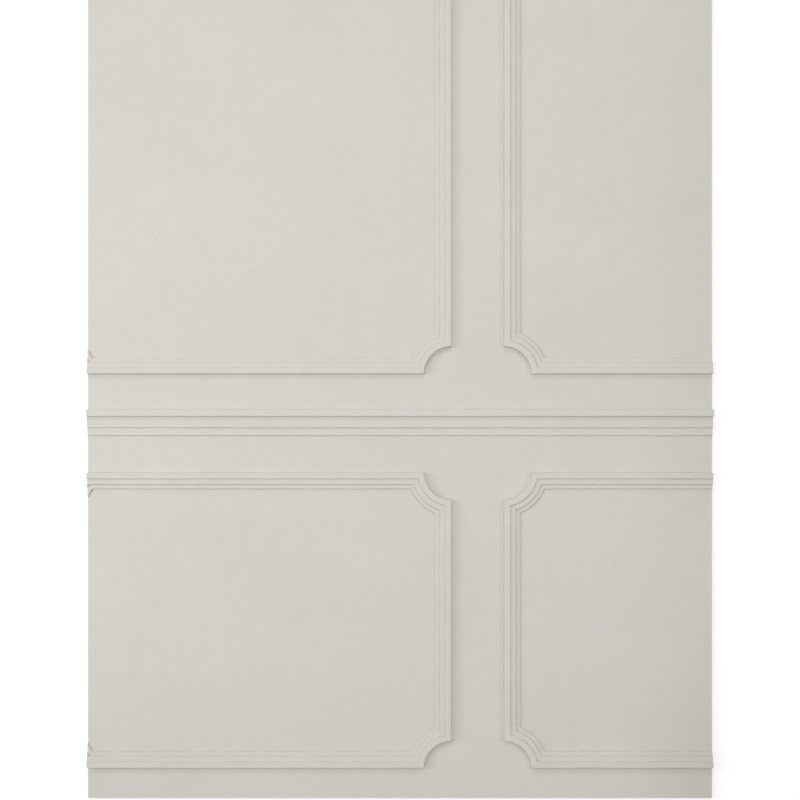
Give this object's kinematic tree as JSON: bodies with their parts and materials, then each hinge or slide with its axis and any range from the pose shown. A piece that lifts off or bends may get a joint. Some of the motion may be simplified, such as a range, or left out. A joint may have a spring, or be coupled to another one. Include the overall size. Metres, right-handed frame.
{
  "type": "three-dimensional wall panel",
  "caption": "Cast plaster wall panel sheet in low relief: stepped frames with scooped corners above and below a stepped dado rail, on a flat back.",
  "frame": {"origin": "centre of the flat back face; the panel lies on its back, face up", "axes": "+Z out of the moulded face, +Y up the wall as the panel is hung, +X to the right of someone facing it"},
  "size_m": [1.22, 2.44, 0.028],
  "materials": {
    "plaster": "matte"
  },
  "bodies": {
    "root": {"panel": "plaster"}
  },
  "joints": []
}
